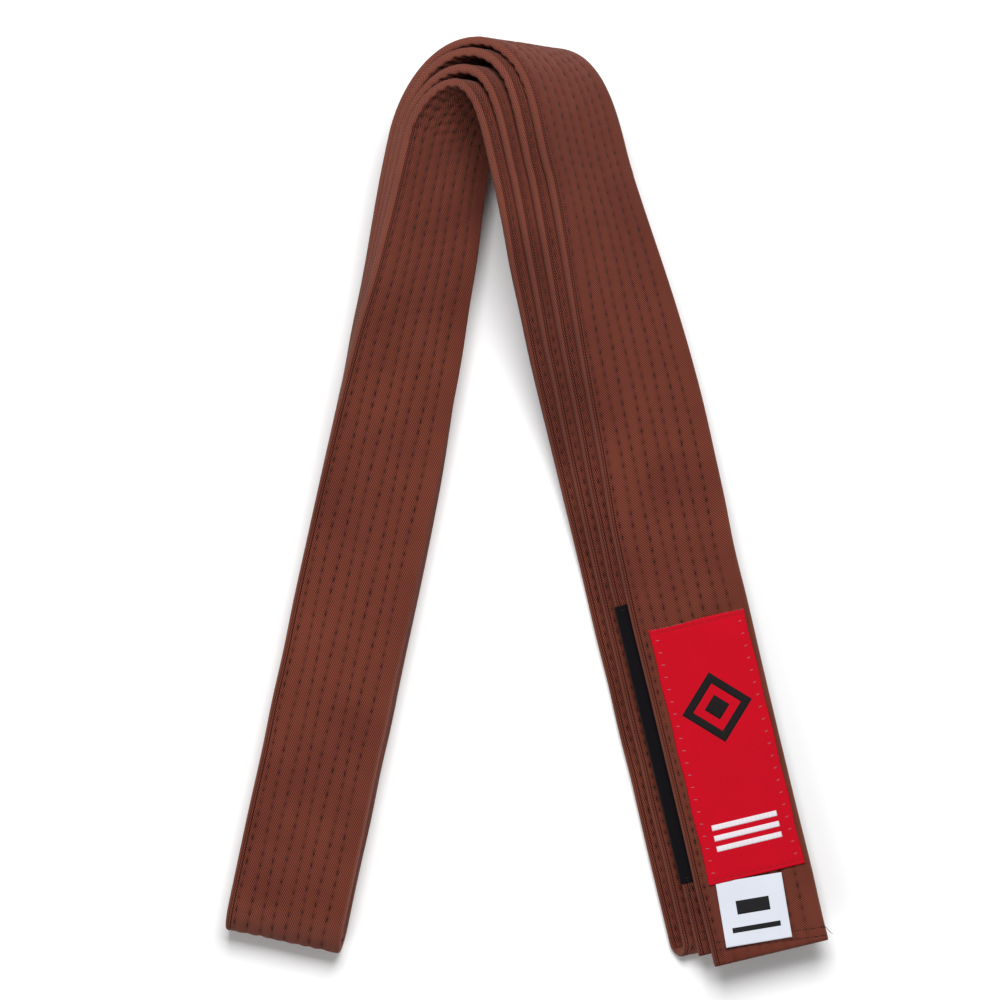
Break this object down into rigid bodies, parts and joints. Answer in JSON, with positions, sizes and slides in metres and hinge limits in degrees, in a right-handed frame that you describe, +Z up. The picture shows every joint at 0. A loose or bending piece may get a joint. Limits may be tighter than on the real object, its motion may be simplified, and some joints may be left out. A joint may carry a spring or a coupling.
{
  "type": "martial arts belt",
  "caption": "Quilted cotton martial arts belt with a rank bar and a woven patch, folded in layers and laid down as an upside-down V, with free ends that lift.",
  "frame": {"origin": "centre of the belt's bounding box, on the surface that it lies on", "axes": "+Z up from that surface, +Y from the feet of the two legs to the crown, +X from the left leg to the right leg with the patch"},
  "size_m": [0.2356, 0.3621, 0.0624],
  "materials": {
    "cotton_cover": "matte twill",
    "cotton_core": "matte batting",
    "brown_thread": "matte thread",
    "rank_black": "satin weave",
    "black_thread": "matte thread",
    "patch_red": "satin woven",
    "silver_thread": "matte thread",
    "red_thread": "matte thread",
    "figure_black": "woven",
    "figure_white": "woven",
    "tab_white": "smooth woven",
    "print_black": "printed"
  },
  "bodies": {
    "root": {"cover_inner_left_run": "cotton_cover", "cover_inner_left_turn": "cotton_cover", "cover_inner_crown": "cotton_cover", "cover_inner_right_turn": "cotton_cover", "cover_inner_right_run": "cotton_cover", "cover_third_left_run": "cotton_cover", "cover_third_left_turn": "cotton_cover", "cover_third_crown": "cotton_cover", "cover_third_right_turn": "cotton_cover", "cover_third_right_run": "cotton_cover", "cover_second_left_run": "cotton_cover", "cover_second_left_turn": "cotton_cover", "cover_second_crown": "cotton_cover", "cover_second_right_turn": "cotton_cover", "cover_outer_left_run": "cotton_cover", "cover_outer_left_turn": "cotton_cover", "cover_outer_crown": "cotton_cover", "cover_outer_right_turn": "cotton_cover", "cover_outer_fold": "cotton_cover", "cover_inner_fold": "cotton_cover", "cover_middle_loop": "cotton_cover", "core_long": "cotton_core", "quilting_label_side": "brown_thread", "quilting_open_leg": "brown_thread"},
    "bar_end": {"cover_bar_end": "cotton_cover", "core_bar_end": "cotton_core", "rank_bar_sleeve": "rank_black", "rank_bar_stitches": "black_thread", "quilting_bar_end": "brown_thread", "hem_stitches_bar_end": "brown_thread", "cover_label_link": "cotton_cover", "core_label_link": "cotton_core", "quilting_label_link": "brown_thread"},
    "label_end": {"cover_label_end": "cotton_cover", "core_label_end": "cotton_core", "quilting_label_end": "brown_thread", "hem_stitches_label_end": "brown_thread", "label_patch": "patch_red", "patch_side_stitches": "silver_thread", "patch_end_stitches": "red_thread", "patch_emblem": "figure_black", "patch_bands": "figure_white"},
    "size_tab_body": {"size_tab": "tab_white", "size_tab_print": "print_black"}
  },
  "joints": [
    {"name": "bar_end_lift", "type": "hinge", "parent": "root", "child": "bar_end", "pos_m": [0.05997, -0.02773, 0.01853], "axis": [-0.9724, -0.2334, 0.0034], "range_deg": [0, 60]},
    {"name": "label_end_lift", "type": "hinge", "parent": "bar_end", "child": "label_end", "pos_m": [0.06332, -0.04188, 0.0185], "axis": [-0.9724, -0.2334, 0], "range_deg": [0, 90]},
    {"name": "size_tab_flip", "type": "hinge", "parent": "label_end", "child": "size_tab_body", "pos_m": [0.08549, -0.14628, 0.0194], "axis": [-0.9724, -0.2334, 0], "range_deg": [0, 150]}
  ]
}
